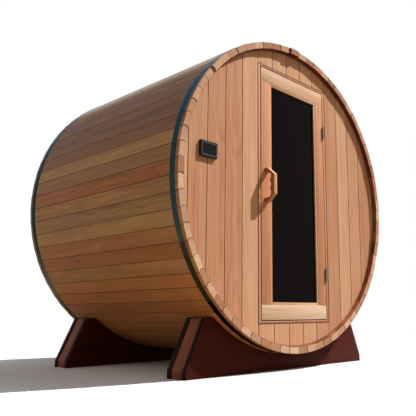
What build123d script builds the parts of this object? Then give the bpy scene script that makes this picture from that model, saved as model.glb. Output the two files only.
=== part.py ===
from build123d import *
from math import cos, degrees, radians, sin, tan
import os

os.makedirs("parts", exist_ok=True)

# A barrel sauna of plank staves on two cradles, with a glazed door in its front end.
# Millimetres. +X is to the right facing the door, the door looks along -Y, +Z is up.
# The origin is on the ground, under the middle of the whole sauna.

# Driving dimensions of the barrel
barrel_radius = 914.4  # axis to the flat outer face of a stave: a 72 inch barrel
barrel_length = 1463.0
stave_thickness = 38.0
stave_count = 70
stave_gap = 0.4
open_joint = 9.0  # the one joint near the top that has shrunk open
open_joint_angle = 94.4  # degrees from +X, seen from the door
bead_rise = 7.0  # how far a bead swells into the cove beside it
arris = 1.6  # eased outer edges of a stave
end_play = 3.0  # most that one stave falls short of the longest at each end
proud_staves = {8: 5.0, 69: 11.0}  # staves that have crept forward, by number from the open joint
axis_height = 1003.7
staves_per_node = 7

# End walls of upright tongue and groove boards, held in a croze cut round the staves
wall_recess = 30.0  # rim edge to wall face
wall_thickness = 38.0
croze_depth = 10.0
croze_play = 1.0
seat_play = 0.5
board_pitch = 127.6
board_count = 15
board_gap = 0.6
board_v = 2.0  # chamfer on the weather face of each joint
tongue_length = 6.0
tongue_width = 8.0

# Door
leaf_width = 588.4
leaf_height = 1449.2
leaf_bottom = -726.8  # below the barrel's axis
leaf_thickness = 38.0
stile_face = 76.0
rail_face = 82.0
glass_lap = 12.0  # rear lip of the stiles and rails behind the glass
glass_set = 12.0  # door face to glass
glass_thickness = 8.0
glass_play = 1.5
bead_face = 15.0
bead_set = 1.5
bead_arris = 1.5
mitre_gap = 0.3
hinge_side_gap = 5.0
latch_side_gap = 7.0
end_gap = 5.0
stop_gap = 5.0
stop_lap = 10.0
stop_depth = 22.0
frame_end_thickness = 11.6  # head and sill, beside the gap

# Handle: a plank on edge, front corners cut at about 45 degrees, with a three-finger grip
handle_depth = 70.0
handle_front = 112.0
handle_heel = 20.0  # depth of the straight part against the door
handle_cut = 44.0  # height of each cut corner
handle_thickness = 28.0
handle_x = -253.0
handle_z = 20.0  # above the barrel's axis
finger_pitch = 46.0
finger_depth = 9.0
grip_inset = 33.0  # handle front to the crests between fingers
grip_half_height = 72.0

# Butt hinges
hinge_height = 80.0
hinge_z = 458.0  # above and below the barrel's axis
knuckle_radius = 6.0
knuckle_count = 3
knuckle_gap = 0.6
pin_radius = 2.5
pin_play = 0.1
flap_thickness = 2.0
flap_width = 30.0
flap_start = 0.8  # flap to wall face, clear of the other flap's knuckles

# Control panel beside the door
panel_x = -701.8
panel_z = 133.0
panel_width = 116.0
panel_height = 84.0
panel_depth = 15.0
panel_corner = 5.0
panel_edge = 2.0
screen_width = 90.0
screen_height = 56.0
screen_thickness = 2.0
screen_set = 1.0
screen_play = 0.2

# Steel hoops
hoop_width = 38.0
hoop_thickness = 1.2
hoop_inset = 25.0

# Cradles: two plates with a core between them, a saddle cut in the top
cradle_front = 100.0  # front rim edge to the front cradle
cradle_rear = 130.5  # rear rim edge to the rear cradle
plate_thickness = 28.0
core_thickness = 87.0
foot_half_width = 757.0
toe_height = 40.0
shoulder_half_width = 638.0
shoulder_height = 296.0
saddle_play = 0.4
core_set = 5.0  # core held back from the plates' sloped ends and top

# Floor of duckboards
deck_drop = 745.0  # deck top below the axis
slat_width = 89.0
slat_thickness = 22.0
slat_gap = 12.0
slat_count = 8
bearer_width = 45.0
bearer_height = 60.0
bearer_count = 3
bearer_margin = 120.0
bearer_half_length = 430.0
floor_play = 0.3
slat_end_play = 1.0

# Worked out from the driving dimensions
handle_proud = handle_depth - wall_recess
front_y = -(barrel_length - handle_proud) / 2
rear_y = front_y + barrel_length
wall_y = front_y + wall_recess
rear_wall_y = rear_y - wall_recess
inner_radius = barrel_radius - stave_thickness
wall_radius = inner_radius + croze_depth - seat_play
open_degrees = degrees(open_joint / barrel_radius)
stave_pitch = (360 - open_degrees) / stave_count
half_pitch = stave_pitch / 2
corner_radius = barrel_radius / cos(radians(half_pitch))
leaf_half = leaf_width / 2
leaf_top = leaf_bottom + leaf_height
opening_half = 2.5 * board_pitch
opening_top = leaf_top + end_gap + frame_end_thickness
opening_bottom = leaf_bottom - end_gap - frame_end_thickness
jamb_depth = leaf_thickness + stop_gap + stop_depth
hinge_x = leaf_half + hinge_side_gap / 2
hinge_y = wall_y - knuckle_radius


def facing(y):
    # A plane seen from the door, at depth y, with its local Y up. A negative extrusion goes inwards.
    return Plane.XZ.offset(-y)


def at_axis(y):
    # The same plane, with its origin on the barrel's axis.
    return Plane((0, y, axis_height), x_dir=(1, 0, 0), z_dir=(0, -1, 0))


def polar(radius, angle):
    return (radius * cos(radians(angle)), radius * sin(radians(angle)))


# Section of the stave at the top of the barrel: bead on its right edge, cove on its left
mid_radius = (barrel_radius + inner_radius) / 2
edge_play = stave_gap / 2 / cos(radians(half_pitch))
slope = tan(radians(half_pitch))
outer_half = barrel_radius * slope - edge_play
inner_half = inner_radius * slope - edge_play
croze_radius = inner_radius + croze_depth
croze_width = wall_thickness + croze_play


def swell(radius):
    # How far the bead stands out at that radius, most at the middle of the stave's thickness
    off_middle = abs(radius - mid_radius) / (stave_thickness / 2)
    return bead_rise * (1 - off_middle**2)


def edge_point(side, radius):
    # A point on the bead (side 1) or the cove (side -1)
    flat_x = side * (radius * slope - edge_play)
    along = swell(radius)
    return (flat_x + along * cos(radians(half_pitch)), radius - side * along * sin(radians(half_pitch)))


bead_radii = (mid_radius + mid_radius - croze_radius, mid_radius, croze_radius)
stave_section = [
    (-outer_half + arris, barrel_radius),
    (outer_half - arris, barrel_radius),
    (outer_half, barrel_radius - arris),
    *[edge_point(1, radius) for radius in bead_radii],
    (inner_half, inner_radius),
    (-inner_half, inner_radius),
    *[edge_point(-1, radius) for radius in reversed(bead_radii)],
    (-outer_half, barrel_radius - arris),
    (-outer_half + arris, barrel_radius),
]


def stave_front(number):
    # Stave ends fall unevenly short of the rim's plane, and two have crept out of it
    return front_y + end_play * (number * 7 % 11) / 10 - proud_staves.get(number, 0)


def stave_rear(number):
    return rear_y - end_play * (number * 5 % 13) / 12


def stave(number):
    length = stave_rear(number) - stave_front(number)
    with BuildPart() as plank:
        with BuildSketch(facing(stave_front(number))):
            with BuildLine():
                Polyline(*stave_section)
            make_face()
        extrude(amount=-length)
        # The croze, a square groove across both ends for the end walls
        for wall_middle in (wall_y + wall_thickness / 2, rear_wall_y - wall_thickness / 2):
            with Locations((0, wall_middle, inner_radius)):
                Box(4 * outer_half, croze_width, 2 * croze_depth, mode=Mode.SUBTRACT)
    angle = open_joint_angle + open_degrees / 2 + (number + 0.5) * stave_pitch
    return plank.part.moved(Location((0, 0, axis_height), (0, 90 - angle, 0)))


# The staves run anticlockwise from the open joint, in nodes of seven neighbours
for group in range(stave_count // staves_per_node):
    first = group * staves_per_node
    with BuildPart() as staves:
        for number in range(first, first + staves_per_node):
            add(stave(number))
    staves.part.label = f"staves_{group + 1:02d}"
    export_step(staves.part, f"parts/{staves.part.label}.step")


def board_edges(index):
    left = (index - board_count / 2) * board_pitch
    return left + board_gap / 2, left + board_pitch - board_gap / 2


def board_outline(index, weather_y, inward):
    # Plan of one board: groove on its left, tongue on its right, V edges on its weather face.
    left, right = board_edges(index)
    middle = weather_y + inward * wall_thickness / 2
    half_tongue = inward * tongue_width / 2
    half_groove = inward * (tongue_width + board_gap) / 2
    groove_end = left + tongue_length + board_gap
    vee = inward * board_v
    room_y = weather_y + inward * wall_thickness
    return [
        (left + board_v, weather_y),
        (right - board_v, weather_y),
        (right, weather_y + vee),
        (right, middle - half_tongue),
        (right + tongue_length, middle - half_tongue),
        (right + tongue_length, middle + half_tongue),
        (right, middle + half_tongue),
        (right, room_y),
        (left, room_y),
        (left, middle + half_groove),
        (groove_end, middle + half_groove),
        (groove_end, middle - half_groove),
        (left, middle - half_groove),
        (left, weather_y + vee),
        (left + board_v, weather_y),
    ]


def wall_boards(name, boards, weather_y, inward, low, high, cut_doorway=False):
    # Boards between two heights above the axis, cut to the disc that the croze holds.
    nearer_y = min(weather_y, weather_y + inward * wall_thickness)
    with BuildPart() as wall:
        with BuildSketch(Plane.XY.offset(axis_height + low)):
            for index in boards:
                with BuildLine():
                    Polyline(*board_outline(index, weather_y, inward))
                make_face()
        extrude(amount=high - low)
        with BuildSketch(at_axis(nearer_y)):
            Circle(wall_radius)
        extrude(amount=-wall_thickness, mode=Mode.INTERSECT)
        if cut_doorway:
            with BuildSketch(at_axis(wall_y)):
                with Locations((0, (opening_top + opening_bottom) / 2)):
                    Rectangle(2 * opening_half, opening_top - opening_bottom)
            extrude(amount=-wall_thickness, mode=Mode.SUBTRACT)
    wall.part.label = name
    export_step(wall.part, f"parts/{name}.step")


wall_boards("front_wall_left", range(0, 5), wall_y, 1, -wall_radius, wall_radius, True)
wall_boards("front_wall_right", range(10, 15), wall_y, 1, -wall_radius, wall_radius, True)
wall_boards("front_wall_above_door", range(5, 10), wall_y, 1, opening_top, wall_radius)
wall_boards("front_wall_below_door", range(5, 10), wall_y, 1, -wall_radius, opening_bottom)
wall_boards("rear_wall_left", range(0, 5), rear_wall_y, -1, -wall_radius, wall_radius)
wall_boards("rear_wall_centre", range(5, 10), rear_wall_y, -1, -wall_radius, wall_radius)
wall_boards("rear_wall_right", range(10, 15), rear_wall_y, -1, -wall_radius, wall_radius)

# Door frame: rebated jambs, head and sill, whose inner step is the door stop
stop_y = wall_y + leaf_thickness + stop_gap
jamb_end_y = wall_y + jamb_depth
upper_hinge = hinge_z
lower_hinge = -hinge_z


def jamb(name, side, gap):
    face_x = side * (leaf_half + gap)
    stop_x = side * (leaf_half - stop_lap)
    back_x = side * opening_half
    with BuildPart() as post:
        with BuildSketch(Plane.XY.offset(axis_height + opening_bottom)):
            with BuildLine():
                Polyline(
                    (back_x, wall_y),
                    (face_x, wall_y),
                    (face_x, stop_y),
                    (stop_x, stop_y),
                    (stop_x, jamb_end_y),
                    (back_x, jamb_end_y),
                    (back_x, wall_y),
                )
            make_face()
        extrude(amount=opening_top - opening_bottom)
        if side > 0:
            # Recesses for the fixed hinge flaps
            for height in (upper_hinge, lower_hinge):
                with Locations((face_x, wall_y + flap_width / 2, axis_height + height)):
                    Box(2 * flap_thickness, flap_width, hinge_height, mode=Mode.SUBTRACT)
    post.part.label = name
    export_step(post.part, f"parts/{name}.step")


def cross_piece(name, outer_z, leaf_z, toward_leaf):
    # Head or sill, fitted between the jambs. toward_leaf is -1 for the head and 1 for the sill.
    left_x = -(leaf_half + latch_side_gap)
    right_x = leaf_half + hinge_side_gap
    face_z = leaf_z - toward_leaf * end_gap
    stop_z = leaf_z + toward_leaf * stop_lap
    with BuildPart() as piece:
        with BuildSketch(at_axis(wall_y)):
            with Locations(((left_x + right_x) / 2, (outer_z + face_z) / 2)):
                Rectangle(right_x - left_x, abs(outer_z - face_z))
        extrude(amount=-(leaf_thickness + stop_gap))
        with BuildSketch(at_axis(stop_y)):
            with Locations((0, (outer_z + stop_z) / 2)):
                Rectangle(2 * (leaf_half - stop_lap), abs(outer_z - stop_z))
        extrude(amount=-stop_depth)
    piece.part.label = name
    export_step(piece.part, f"parts/{name}.step")


jamb("door_jamb_latch_side", -1, latch_side_gap)
jamb("door_jamb_hinge_side", 1, hinge_side_gap)
cross_piece("door_head", opening_top, leaf_top, -1)
cross_piece("door_sill", opening_bottom, leaf_bottom, 1)

# Door leaf: rails run the full width, stiles stand between them, all rebated for the glass
stile_bottom = leaf_bottom + rail_face
stile_top = leaf_top - rail_face
rebate_depth = glass_set + glass_thickness
sight_half = leaf_half - stile_face


def stile(name, side):
    edge_x = side * leaf_half
    sight_x = side * sight_half
    lip_x = side * (sight_half - glass_lap)
    with BuildPart() as post:
        with BuildSketch(Plane.XY.offset(axis_height + stile_bottom)):
            with BuildLine():
                Polyline(
                    (edge_x, wall_y),
                    (sight_x, wall_y),
                    (sight_x, wall_y + rebate_depth),
                    (lip_x, wall_y + rebate_depth),
                    (lip_x, wall_y + leaf_thickness),
                    (edge_x, wall_y + leaf_thickness),
                    (edge_x, wall_y),
                )
            make_face()
        extrude(amount=stile_top - stile_bottom)
        if side > 0:
            for height in (upper_hinge, lower_hinge):
                with Locations((edge_x, wall_y + flap_width / 2, axis_height + height)):
                    Box(2 * flap_thickness, flap_width, hinge_height, mode=Mode.SUBTRACT)
    post.part.label = name
    export_step(post.part, f"parts/{name}.step")


def rail(name, outer_z, inner_z, toward_glass):
    lip_z = inner_z + toward_glass * glass_lap
    with BuildPart() as bar:
        with BuildSketch(at_axis(wall_y)):
            with Locations((0, (outer_z + inner_z) / 2)):
                Rectangle(leaf_width, rail_face)
        extrude(amount=-leaf_thickness)
        with BuildSketch(at_axis(wall_y + rebate_depth)):
            with Locations((0, (inner_z + lip_z) / 2)):
                Rectangle(2 * (sight_half - glass_lap), glass_lap)
        extrude(amount=-(leaf_thickness - rebate_depth))
    bar.part.label = name
    export_step(bar.part, f"parts/{name}.step")


stile("door_stile_latch_side", -1)
stile("door_stile_hinge_side", 1)
rail("door_top_rail", leaf_top, stile_top, -1)
rail("door_bottom_rail", leaf_bottom, stile_bottom, 1)

sight_middle = (stile_top + stile_bottom) / 2
sight_height = stile_top - stile_bottom
with BuildPart() as glass:
    with BuildSketch(at_axis(wall_y + glass_set)):
        with Locations((0, sight_middle)):
            Rectangle(2 * (sight_half - glass_play), sight_height - 2 * glass_play)
    extrude(amount=-glass_thickness)
glass.part.label = "door_glass"
export_step(glass.part, "parts/door_glass.step")

# Glazing beads: four mitred square strips with an eased sight edge
bead_plan = [
    (0, bead_set),
    (bead_face - bead_arris, bead_set),
    (bead_face, bead_set + bead_arris),
    (bead_face, glass_set),
    (0, glass_set),
    (0, bead_set),
]
with BuildPart() as beads:
    for turn, half_length, half_reach in (
        (0, sight_height / 2, sight_half),
        (90, sight_half, sight_height / 2),
        (180, sight_height / 2, sight_half),
        (270, sight_half, sight_height / 2),
    ):
        centre = Location((0, 0, axis_height + sight_middle), (0, turn, 0))
        with BuildPart(mode=Mode.PRIVATE) as strip:
            with BuildSketch(Plane.XY.offset(-half_length)):
                with BuildLine():
                    Polyline(*[(x - half_reach, wall_y + y) for x, y in bead_plan])
                make_face()
            extrude(amount=2 * half_length)
            with BuildSketch(facing(wall_y)):
                with BuildLine():
                    Polyline(
                        (-half_reach, -half_length + mitre_gap),
                        (-half_reach + bead_face, -half_length + bead_face + mitre_gap),
                        (-half_reach + bead_face, half_length - bead_face - mitre_gap),
                        (-half_reach, half_length - mitre_gap),
                        (-half_reach, -half_length + mitre_gap),
                    )
                make_face()
            extrude(amount=-glass_set, mode=Mode.INTERSECT)
        add(strip.part.moved(centre))
beads.part.label = "glazing_beads"
export_step(beads.part, "parts/glazing_beads.step")

# Handle in side view: straight heels, cut front corners, hollowed for three fingers
base_half = handle_front / 2 + handle_cut
finger_half = finger_pitch / 2
grip_top = 1.5 * finger_pitch
side_plane = Plane(
    (handle_x - handle_thickness / 2, wall_y, axis_height + handle_z), x_dir=(0, -1, 0), z_dir=(1, 0, 0)
)
# On this plane local X runs out from the door, and local Y runs down
with BuildPart() as handle:
    with BuildSketch(side_plane):
        with BuildLine():
            Polyline(
                (0, -base_half),
                (handle_heel, -base_half),
                (handle_depth, -handle_front / 2),
                (handle_depth, handle_front / 2),
                (handle_heel, base_half),
                (0, base_half),
                (0, -base_half),
            )
        make_face()
    extrude(amount=handle_thickness)
    with BuildSketch(side_plane):
        with BuildLine():
            crest = handle_depth - grip_inset
            Line((0, -grip_half_height), (crest - finger_depth, -grip_half_height))
            Line((crest - finger_depth, -grip_half_height), (crest, -grip_top))
            for finger in range(3):
                start = (finger - 1.5) * finger_pitch
                ThreePointArc(
                    (crest, start),
                    (crest + finger_depth, start + finger_half),
                    (crest, start + finger_pitch),
                )
            Line((crest, grip_top), (crest - finger_depth, grip_half_height))
            Line((crest - finger_depth, grip_half_height), (0, grip_half_height))
            Line((0, grip_half_height), (0, -grip_half_height))
        make_face()
    extrude(amount=handle_thickness, mode=Mode.SUBTRACT)
handle.part.label = "door_handle"
export_step(handle.part, "parts/door_handle.step")

# Hinges: three knuckles on one pin, the outer ones fixed to the jamb
knuckle_height = (hinge_height - (knuckle_count - 1) * knuckle_gap) / knuckle_count
knuckle_step = knuckle_height + knuckle_gap


def hinge_half(name, side, own_knuckles, with_pin):
    flap_x = hinge_x + side * (hinge_side_gap / 2 + flap_thickness / 2)
    with BuildPart() as half:
        for height in (upper_hinge, lower_hinge):
            middle_z = axis_height + height
            flap_length = flap_width - flap_start
            with Locations((flap_x, wall_y + flap_start + flap_length / 2, middle_z)):
                Box(flap_thickness, flap_length, hinge_height)
            for index in own_knuckles:
                knuckle_z = middle_z - hinge_height / 2 + knuckle_height / 2 + index * knuckle_step
                with Locations((hinge_x, hinge_y, knuckle_z)):
                    Cylinder(knuckle_radius, knuckle_height)
                with Locations((flap_x, (hinge_y + wall_y + flap_start) / 2, knuckle_z)):
                    Box(flap_thickness, knuckle_radius + flap_start, knuckle_height)
            with Locations((hinge_x, hinge_y, middle_z)):
                if with_pin:
                    Cylinder(pin_radius, hinge_height)
                else:
                    Cylinder(pin_radius + pin_play, hinge_height, mode=Mode.SUBTRACT)
    half.part.label = name
    export_step(half.part, f"parts/{name}.step")


hinge_half("hinge_jamb_flaps", 1, (0, 2), True)
hinge_half("hinge_door_flaps", -1, (1,), False)

# Control panel: a rounded housing with its dark screen set in
with BuildPart() as panel:
    with BuildSketch(at_axis(wall_y)):
        with Locations((panel_x, panel_z)):
            RectangleRounded(panel_width, panel_height, panel_corner)
    extrude(amount=panel_depth)
    chamfer(panel.faces().sort_by(Axis.Y)[0].edges(), panel_edge)
    with BuildSketch(at_axis(wall_y - panel_depth)):
        with Locations((panel_x, panel_z)):
            Rectangle(screen_width, screen_height)
    extrude(amount=-(screen_thickness + screen_set), mode=Mode.SUBTRACT)
panel.part.label = "control_panel"
export_step(panel.part, "parts/control_panel.step")

with BuildPart() as screen:
    with BuildSketch(at_axis(wall_y - panel_depth + screen_set)):
        with Locations((panel_x, panel_z)):
            Rectangle(screen_width - 2 * screen_play, screen_height - 2 * screen_play)
    extrude(amount=-screen_thickness)
screen.part.label = "control_screen"
export_step(screen.part, "parts/control_screen.step")


# Hoops: flat steel bands bent from stave to stave
def joint_angle(index):
    return open_joint_angle + open_degrees / 2 + index * stave_pitch


def hoop_corners(thickness):
    radius = (barrel_radius + thickness) / cos(radians(half_pitch))
    return [polar(radius, joint_angle(index)) for index in range(stave_count + 1)]


def hoop(name, band_y):
    with BuildPart() as band:
        with BuildSketch(at_axis(band_y)):
            for thickness, how in ((hoop_thickness, Mode.ADD), (0, Mode.SUBTRACT)):
                corners = hoop_corners(thickness)
                with BuildLine():
                    Polyline(*corners, corners[0])
                make_face(mode=how)
        extrude(amount=-hoop_width)
    band.part.label = name
    export_step(band.part, f"parts/{name}.step")


hoop("front_hoop", front_y + hoop_inset)
hoop("rear_hoop", rear_y - hoop_inset - hoop_width)

# Cradles
saddle_radius = corner_radius + saddle_play


def cradle_piece(name, near_y, thickness, set_back):
    top = shoulder_height - set_back
    with BuildPart() as piece:
        with BuildSketch(facing(near_y)):
            with BuildLine():
                Polyline(
                    (-foot_half_width + set_back, 0),
                    (foot_half_width - set_back, 0),
                    (foot_half_width - set_back, toe_height),
                    (shoulder_half_width - set_back, top),
                    (-shoulder_half_width + set_back, top),
                    (-foot_half_width + set_back, toe_height),
                    (-foot_half_width + set_back, 0),
                )
            make_face()
            with Locations((0, axis_height)):
                Circle(saddle_radius, mode=Mode.SUBTRACT)
        extrude(amount=-thickness)
    piece.part.label = name
    export_step(piece.part, f"parts/{name}.step")


def cradle(name, near_y):
    cradle_piece(f"{name}_front_plate", near_y, plate_thickness, 0)
    cradle_piece(f"{name}_core", near_y + plate_thickness, core_thickness, core_set)
    cradle_piece(f"{name}_rear_plate", near_y + plate_thickness + core_thickness, plate_thickness, 0)


cradle("front_cradle", front_y + cradle_front)
cradle("rear_cradle", rear_y - cradle_rear - 2 * plate_thickness - core_thickness)

# Floor: slats along the barrel on bearers that sit in its curve
room_front = wall_y + wall_thickness
room_rear = rear_wall_y - wall_thickness
deck_top = axis_height - deck_drop
slat_pitch = slat_width + slat_gap
with BuildPart() as slats:
    with Locations((0, (room_front + room_rear) / 2, deck_top - slat_thickness / 2)):
        with GridLocations(slat_pitch, 1, slat_count, 1):
            Box(slat_width, room_rear - room_front - 2 * slat_end_play, slat_thickness)
slats.part.label = "floor_slats"
export_step(slats.part, "parts/floor_slats.step")

bearer_top = -deck_drop - slat_thickness
bearer_span = room_rear - room_front - 2 * bearer_margin - bearer_width
with BuildPart() as bearers:
    for index in range(bearer_count):
        bearer_y = room_front + bearer_margin + index * bearer_span / (bearer_count - 1)
        with BuildSketch(at_axis(bearer_y)):
            with Locations((0, bearer_top - bearer_height / 2)):
                Rectangle(2 * bearer_half_length, bearer_height)
            Circle(inner_radius - floor_play, mode=Mode.INTERSECT)
        extrude(amount=-bearer_width)
bearers.part.label = "floor_bearers"
export_step(bearers.part, "parts/floor_bearers.step")
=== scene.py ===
from math import cos, pi, radians, sin, tan

import bmesh
import bpy
from mathutils import Matrix, Vector


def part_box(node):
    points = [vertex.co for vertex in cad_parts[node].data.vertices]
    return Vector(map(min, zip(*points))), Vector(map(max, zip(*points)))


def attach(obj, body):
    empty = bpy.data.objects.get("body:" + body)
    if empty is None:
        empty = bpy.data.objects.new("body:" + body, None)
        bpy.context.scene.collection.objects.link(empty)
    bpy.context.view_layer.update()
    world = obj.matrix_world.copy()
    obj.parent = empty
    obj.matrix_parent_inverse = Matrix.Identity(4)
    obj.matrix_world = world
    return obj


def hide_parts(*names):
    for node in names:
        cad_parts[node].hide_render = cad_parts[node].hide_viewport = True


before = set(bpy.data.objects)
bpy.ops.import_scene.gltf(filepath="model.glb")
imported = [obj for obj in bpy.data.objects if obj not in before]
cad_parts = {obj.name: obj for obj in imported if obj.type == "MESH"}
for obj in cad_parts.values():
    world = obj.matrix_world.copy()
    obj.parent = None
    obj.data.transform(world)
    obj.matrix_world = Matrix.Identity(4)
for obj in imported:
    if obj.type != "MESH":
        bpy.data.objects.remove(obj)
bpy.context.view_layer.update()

# Sizes of the sauna in metres, the same as in its source
AXIS_HEIGHT = 1.0037
BARREL_RADIUS = 0.9144
BARREL_LENGTH = 1.463
STAVE_THICKNESS = 0.038
STAVE_COUNT = 70
STAVE_GAP = 0.0004
OPEN_JOINT = 0.009
OPEN_JOINT_ANGLE = radians(94.4)
BEAD_RISE = 0.007
ARRIS = 0.0016
SHADE_WIDTH = 0.0034
END_SHADE_WIDTH = 0.0022
EDGE_STEPS = 11
CROZE_PLAY = 0.0005
END_EASE = 0.0012
END_PLAY = 0.003
PROUD_STAVES = {8: 0.005, 69: 0.011}
FRONT_Y = -0.7115
REAR_Y = FRONT_Y + BARREL_LENGTH
WALL_RECESS = 0.03
WALL_THICKNESS = 0.038
CROZE_DEPTH = 0.01
BOARD_PITCH = 0.1276
BOARD_COUNT = 15

INNER_RADIUS = BARREL_RADIUS - STAVE_THICKNESS
STAVE_PITCH = (2 * pi - OPEN_JOINT / BARREL_RADIUS) / STAVE_COUNT
FIRST_STAVE = OPEN_JOINT_ANGLE + OPEN_JOINT / BARREL_RADIUS / 2
WALL_Y = FRONT_Y + WALL_RECESS
SLAT_PITCH = 0.101


def paint(red, green, blue):
    """A colour given as it shows on a screen, 0 to 255, in the linear numbers that sockets take."""
    shown = [value / 255 for value in (red, green, blue)]
    return tuple(((c + 0.055) / 1.055) ** 2.4 if c > 0.04045 else c / 12.92 for c in shown) + (1.0,)


# Small helpers for node trees

def add_node(tree, kind, **settings):
    made = tree.nodes.new(kind)
    for name, value in settings.items():
        setattr(made, name, value)
    return made


def feed(tree, socket, value):
    if isinstance(value, bpy.types.NodeSocket):
        tree.links.new(value, socket)
    else:
        socket.default_value = value


def feed_all(tree, step, values):
    for name, value in values.items():
        feed(tree, step.inputs[name], value)


def maths(tree, operation, *values, clamp=False):
    step = add_node(tree, "ShaderNodeMath", operation=operation, use_clamp=clamp)
    for socket, value in zip(step.inputs, values):
        feed(tree, socket, value)
    return step.outputs[0]


def times(tree, first, second, clamp=False):
    return maths(tree, "MULTIPLY", first, second, clamp=clamp)


def plus(tree, first, second):
    return maths(tree, "ADD", first, second)


def minus(tree, first, second):
    return maths(tree, "SUBTRACT", first, second)


def scaled(tree, value, factor, added, clamp=False):
    return maths(tree, "MULTIPLY_ADD", value, factor, added, clamp=clamp)


def larger(tree, first, second):
    return maths(tree, "MAXIMUM", first, second)


def absolute(tree, value):
    return maths(tree, "ABSOLUTE", value)


def flat_distance(tree, first, second):
    """The distance of a point from the origin of its plane."""
    return maths(tree, "SQRT", plus(tree, times(tree, first, first), times(tree, second, second)))


def vector(tree, x, y, z):
    step = add_node(tree, "ShaderNodeCombineXYZ")
    for socket, value in zip(step.inputs, (x, y, z)):
        feed(tree, socket, value)
    return step.outputs[0]


def parts(tree, source):
    step = add_node(tree, "ShaderNodeSeparateXYZ")
    feed(tree, step.inputs[0], source)
    return step.outputs


def soft_step(tree, value, low, high):
    """0 below low, 1 above high, with a smooth rise between them. low may be above high."""
    step = add_node(tree, "ShaderNodeMapRange", interpolation_type="SMOOTHSTEP")
    feed_all(tree, step, {"Value": value, "From Min": low, "From Max": high})
    return step.outputs[0]


def noise(tree, place, scale, detail=2.0, rough=0.5):
    step = add_node(tree, "ShaderNodeTexNoise")
    feed_all(tree, step, {"Vector": place, "Scale": scale, "Detail": detail, "Roughness": rough})
    return step.outputs["Fac"]


def luck_of(tree, number):
    """Three random values from 0 to 1 that belong to a number."""
    step = add_node(tree, "ShaderNodeTexWhiteNoise", noise_dimensions="1D")
    feed(tree, step.inputs["W"], number)
    return parts(tree, step.outputs["Color"])


def attribute(tree, name):
    return add_node(tree, "ShaderNodeAttribute", attribute_name=name).outputs


def blend_colour(tree, amount, first, second, blend_type="MIX"):
    step = add_node(tree, "ShaderNodeMix", data_type="RGBA", blend_type=blend_type)
    feed_all(tree, step, {"Factor": amount, "A": first, "B": second})
    return [out for out in step.outputs if out.type == "RGBA"][0]


def new_group(name, inputs, outputs):
    tree = bpy.data.node_groups.new(name, "ShaderNodeTree")
    for label, kind, value in inputs:
        socket = tree.interface.new_socket(label, in_out="INPUT", socket_type="NodeSocket" + kind)
        socket.default_value = value
    for label, kind in outputs:
        tree.interface.new_socket(label, in_out="OUTPUT", socket_type="NodeSocket" + kind)
    way_in = add_node(tree, "NodeGroupInput")
    way_out = add_node(tree, "NodeGroupOutput")
    return tree, way_in.outputs, way_out.inputs


# Timber

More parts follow.
